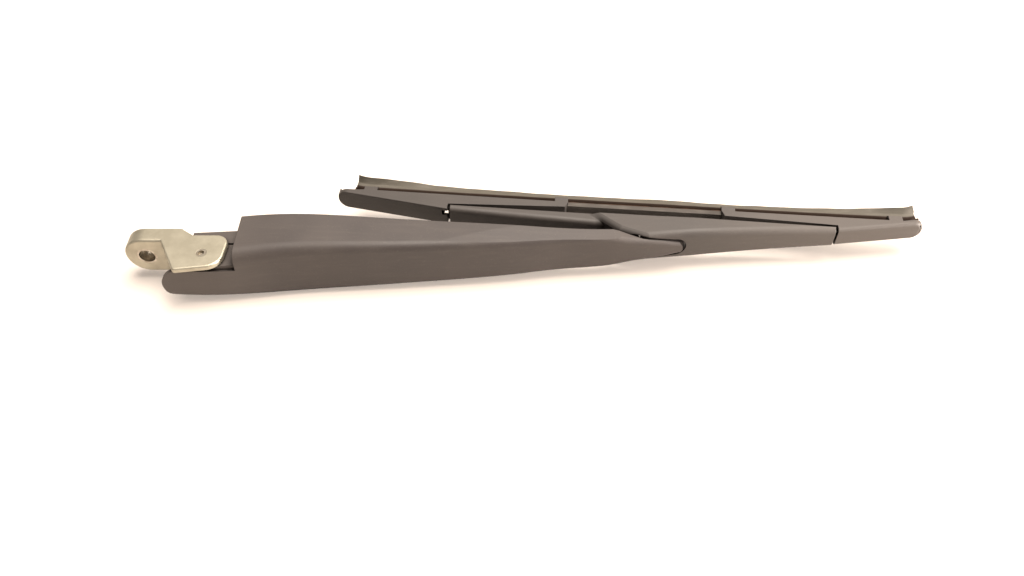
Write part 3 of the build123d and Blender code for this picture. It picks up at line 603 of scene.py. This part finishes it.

# Rubber and rails in two halves, each under the yoke whose claws hold it; the imported parts they stand for
# are hidden
halves = {
    "inner": (RUBBER_ENDS[0], RUBBER_SPLIT, "inner_yoke", INNER_CLAW_X),
    "outer": (RUBBER_SPLIT, RUBBER_ENDS[1], "outer_yoke", OUTER_CLAW_X),
}
for half, (x_from, x_to, yoke, claw_x) in halves.items():
    strips = [(rubber_strip(f"rubber_{half}", x_from, x_to, rubber), "wiper_rubber", "rubber")]
    for rail, side in (("upper", 1), ("lower", -1)):
        strip = rail_strip(f"rail_{rail}_{half}", x_from, x_to, side, rail_steel)
        strips.append((strip, f"rail_{rail}", "steel"))
    for piece, node, slot in strips:
        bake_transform(piece)
        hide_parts(node)

# The coil stretches between its anchor in the arm and the link in the head, 95 to 37 mm along the spring
coil = spring_coil(spring_steel)
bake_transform(coil)
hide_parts("tension_spring")


# Table, light and camera

def table_top():
    """Pale table under the part: a flat square of matt, warm white with a faint glow of its own."""
    material, _, shader = begin("white_table")
    shader.inputs["Base Color"].default_value = linear("#c4bcb4")
    shader.inputs["Roughness"].default_value = 0.9
    shader.inputs["Specular IOR Level"].default_value = 0.0
    shader.inputs["Emission Color"].default_value = linear("#fff2e8")
    shader.inputs["Emission Strength"].default_value = 0.32
    x, y = np.meshgrid([-TABLE_HALF, TABLE_HALF], [-TABLE_HALF, TABLE_HALF])
    z = np.full_like(x, cad_low[2] - TABLE_GAP * MM)
    mesh = bpy.data.meshes.new("table_top")
    mesh.from_pydata(np.stack([x, y, z], axis=-1).reshape(-1, 3).tolist(), [], [(0, 1, 3, 2)])
    mesh.materials.append(material)
    piece = link_to_scene("table_top", mesh)


def area_light(name, place, aim, size, watts, colour):
    """A soft square light at a place, turned to a point."""
    data = bpy.data.lights.new(name, "AREA")
    data.size = size
    data.energy = watts
    data.color = linear(colour)[:3]
    light = link_to_scene(name, data)
    light.location = place
    light.rotation_mode = "QUATERNION"
    light.rotation_quaternion = (Vector(place) - Vector(aim)).to_track_quat("Z", "Y")


table_top()
area_light("window", place=(0.42, 0.22, 1.25), aim=(0.2, 0, 0), size=1.1, watts=55, colour="#fff5ea")
area_light("side", place=(1.1, -0.15, 0.09), aim=(0.35, 0, 0), size=0.4, watts=32, colour="#fff4ea")

# The backdrop lights the part softly and is itself seen as pale
world = bpy.data.worlds.new("studio")
world.use_nodes = True
backdrop = world.node_tree.nodes["Background"]
backdrop.inputs["Color"].default_value = linear("#fff0e2")
seen = add(world.node_tree, "ShaderNodeLightPath").outputs["Is Camera Ray"]
glow = add(world.node_tree, "ShaderNodeMapRange", {"Value": seen, "To Min": 0.2, "To Max": 0.9})
world.node_tree.links.new(glow.outputs["Result"], backdrop.inputs["Strength"])
bpy.context.scene.world = world
bpy.context.scene.view_settings.view_transform = "Standard"

camera = bpy.data.cameras.new("camera")
camera.sensor_width = 36.0
camera.lens = 31.64
seen_from = link_to_scene("camera", camera)
seen_from.location = (0.185357, -0.31803, 0.3290)
seen_from.rotation_euler = (np.radians(42.0), 0, 0)
bpy.context.scene.camera = seen_from

bpy.context.view_layer.update()
